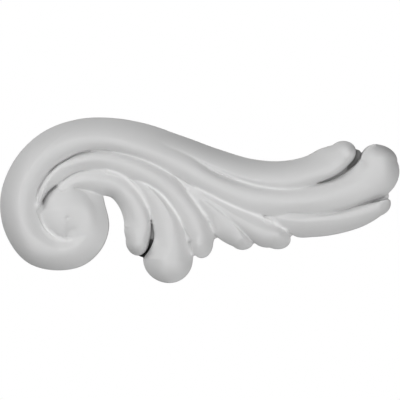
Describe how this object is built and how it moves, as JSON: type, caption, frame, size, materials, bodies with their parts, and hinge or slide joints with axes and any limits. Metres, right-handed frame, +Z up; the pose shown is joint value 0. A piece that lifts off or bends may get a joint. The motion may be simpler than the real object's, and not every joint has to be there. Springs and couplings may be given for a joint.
{
  "type": "scroll onlay",
  "caption": "Cast scroll onlay: a rounded stem curls into a volute and spreads into long acanthus leaves, with a flat back for fixing to a face.",
  "frame": {"origin": "on the flat back, in the middle of the outline's length and height, on material", "axes": "+X along the scroll from the volute to the leaf tips, +Y out of the flat back, +Z up; the relief stands out to -Y"},
  "size_m": [0.2158, 0.016, 0.0897],
  "materials": {
    "primed_casting": "factory primed, pale grey, matt with a slight sheen"
  },
  "bodies": {
    "root": {"scroll_onlay": "primed_casting"}
  },
  "joints": []
}
